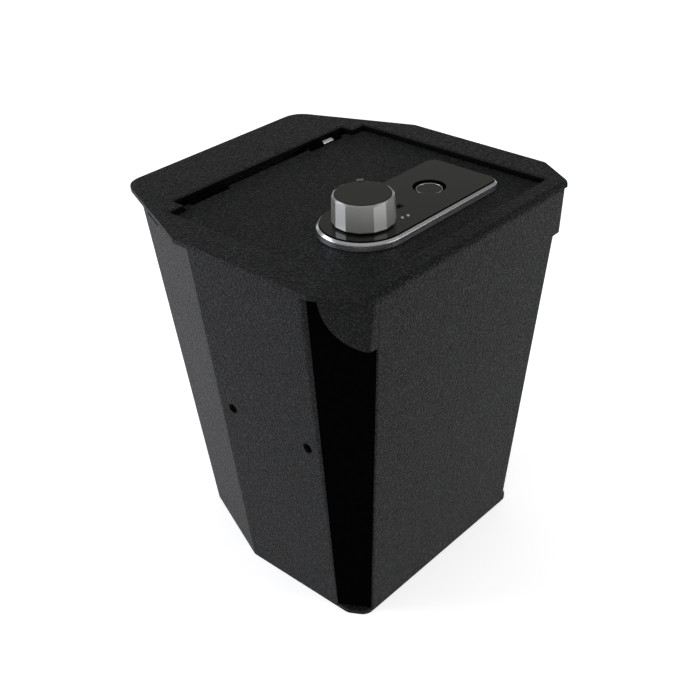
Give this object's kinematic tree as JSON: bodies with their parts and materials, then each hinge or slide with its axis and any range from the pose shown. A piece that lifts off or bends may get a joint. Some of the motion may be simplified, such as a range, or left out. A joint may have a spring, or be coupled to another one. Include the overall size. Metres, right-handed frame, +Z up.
{
  "type": "vehicle console safe",
  "caption": "Tapered steel drop-in safe for a vehicle console, with a flange, a recessed hinged lid, a knob lock with fingerprint reader and sliding latch bolts.",
  "frame": {"origin": "on the floor plane, under the middle of the flange's rectangle", "axes": "+Z up; X along the lid's hinge, knob on the -X half; -Y the plain front wall, +Y the hinge side"},
  "size_m": [0.217, 0.2156, 0.2699],
  "materials": {
    "textured_black": "fine-textured matt powder coat",
    "smooth_black": "smooth satin black paint",
    "zinc_steel": "zinc plated",
    "pin_steel": "bright drawn steel",
    "satin_silver": "satin silver",
    "knob_chrome": "polished facets",
    "gloss_black": "glossy",
    "matt_black": "matt moulded",
    "bush_brass": "turned",
    "board_green": "solder-masked laminate",
    "felt_grey": "short-pile felt",
    "rubber_black": "matt rubber",
    "cell_blue": "printed sleeve, left plain",
    "lamp_white": "clear lens"
  },
  "bodies": {
    "safe_body": {"top_shell": "textured_black", "wrap_shell": "textured_black", "base_plate": "textured_black", "lid_seat": "textured_black", "strike_plate": "zinc_steel", "floor_mat": "felt_grey", "corner_post_right": "smooth_black", "hinge_bracket_right": "smooth_black", "hinge_pin_right": "pin_steel", "corner_post_left": "smooth_black", "hinge_bracket_left": "smooth_black", "hinge_pin_left": "smooth_black", "seat_pad_1": "rubber_black", "seat_pad_2": "rubber_black", "seat_pad_3": "rubber_black", "seat_pad_4": "rubber_black"},
    "lid": {"lid_plate": "textured_black", "lid_rib": "textured_black", "hinge_leaf_right": "smooth_black", "hinge_leaf_left": "smooth_black", "lock_bezel": "satin_silver", "lock_face": "gloss_black", "power_socket": "matt_black", "reader_ring": "satin_silver", "reader_pad": "gloss_black", "spindle_bush": "bush_brass", "chassis_plate": "zinc_steel", "guide_stud_left": "zinc_steel", "guide_stud_right": "zinc_steel", "solenoid": "zinc_steel", "battery_tray": "matt_black", "circuit_board": "board_green", "lock_cover": "textured_black", "status_lamp_1": "lamp_white", "status_lamp_2": "lamp_white", "cover_screw_1": "zinc_steel", "cover_screw_2": "zinc_steel", "cover_screw_3": "zinc_steel", "cover_screw_4": "zinc_steel", "battery_1": "cell_blue", "battery_2": "cell_blue", "battery_3": "cell_blue", "battery_4": "cell_blue"},
    "knob": {"knob_shell": "knob_chrome", "knob_cap": "gloss_black", "spindle": "zinc_steel", "spindle_clip": "zinc_steel", "pinion": "zinc_steel"},
    "bolts": {"bolt_carriage": "zinc_steel", "latch_bolt_right": "zinc_steel", "latch_bolt_left": "zinc_steel"},
    "blocker": {"solenoid_plunger": "pin_steel"},
    "door": {"battery_door": "matt_black"}
  },
  "joints": [
    {"name": "lid_hinge", "type": "hinge", "parent": "safe_body", "child": "lid", "pos_m": [0, 0.0598, 0.245], "axis": [-1, 0, 0], "range_deg": [0, 100]},
    {"name": "knob_turn", "type": "hinge", "parent": "lid", "child": "knob", "pos_m": [-0.0292, -0.0485, 0.26], "axis": [0, 0, -1], "range_deg": [0, 90]},
    {"name": "bolt_slide", "type": "slide", "parent": "lid", "child": "bolts", "axis": [0, -1, 0], "range_m": [0, 0.0095]},
    {"name": "plunger_slide", "type": "slide", "parent": "lid", "child": "blocker", "axis": [0, 0, 1], "range_m": [0, 0.0035]},
    {"name": "battery_door_slide", "type": "slide", "parent": "lid", "child": "door", "axis": [0, 1, 0], "range_m": [0, 0.045]}
  ],
  "couplings": [
    {"joint": "bolt_slide", "follows": "knob_turn", "m_per_rad": 0.006}
  ]
}
